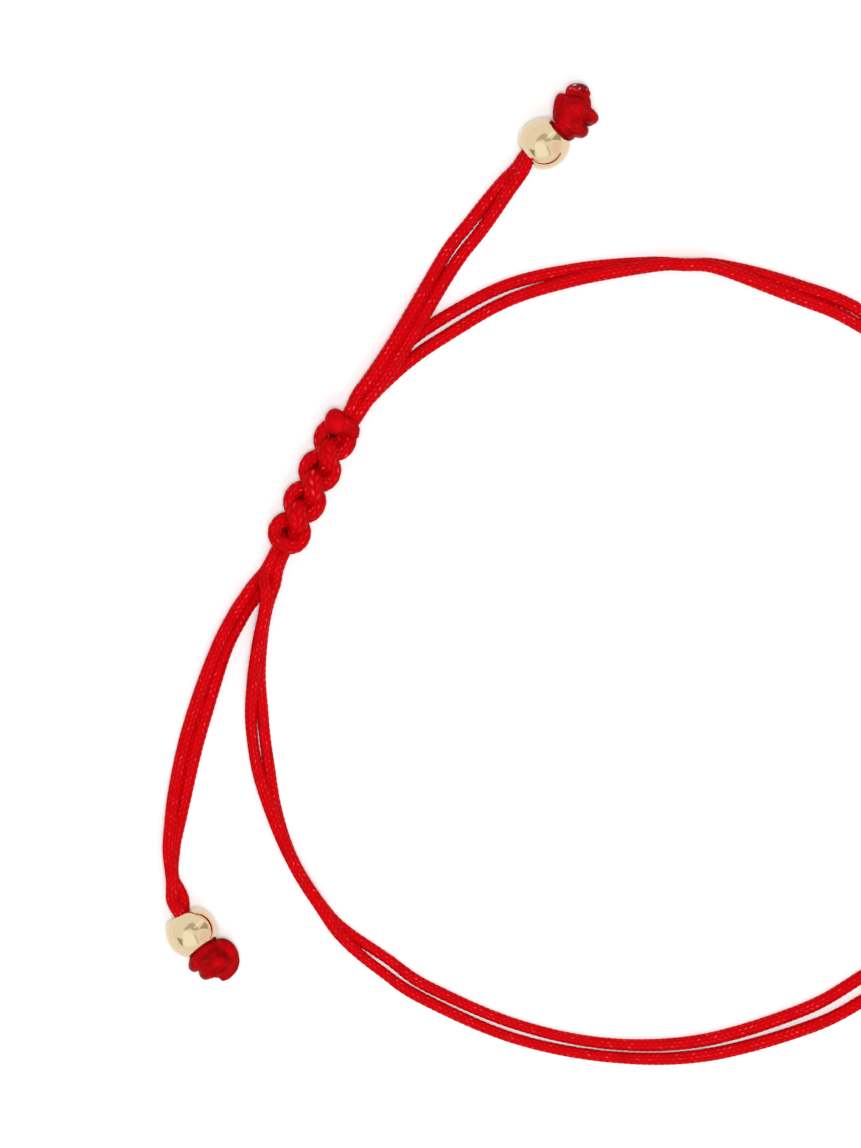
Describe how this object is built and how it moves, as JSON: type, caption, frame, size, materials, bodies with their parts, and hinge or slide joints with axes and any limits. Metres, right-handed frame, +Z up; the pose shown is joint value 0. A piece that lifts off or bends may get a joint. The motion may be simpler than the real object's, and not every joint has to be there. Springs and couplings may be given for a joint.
{
  "type": "cord bracelet",
  "caption": "Bracelet of a doubled braided cord, closed by a sliding knot tied with a thinner cord, with a round bead and an end knot on each tail.",
  "frame": {"origin": "middle of the laid out bracelet's box, on the surface that it lies on", "axes": "+Z up from the surface, +Y from the lower bead towards the upper bead, +X from the slide knot towards the far side of the loop"},
  "size_m": [0.0709, 0.0766, 0.004],
  "materials": {
    "braided_cord": "red braided satin cord with a fine rib",
    "tying_cord": "thinner red braided cord, pulled tight, one end melted smooth",
    "gold_bead": "polished pale yellow gold"
  },
  "bodies": {
    "root": {"strand_outer": "braided_cord", "strand_inner": "braided_cord", "slide_knot": "tying_cord", "bead_upper": "gold_bead", "bead_lower": "gold_bead", "end_knot_upper": "braided_cord", "end_knot_lower": "braided_cord"}
  },
  "joints": []
}
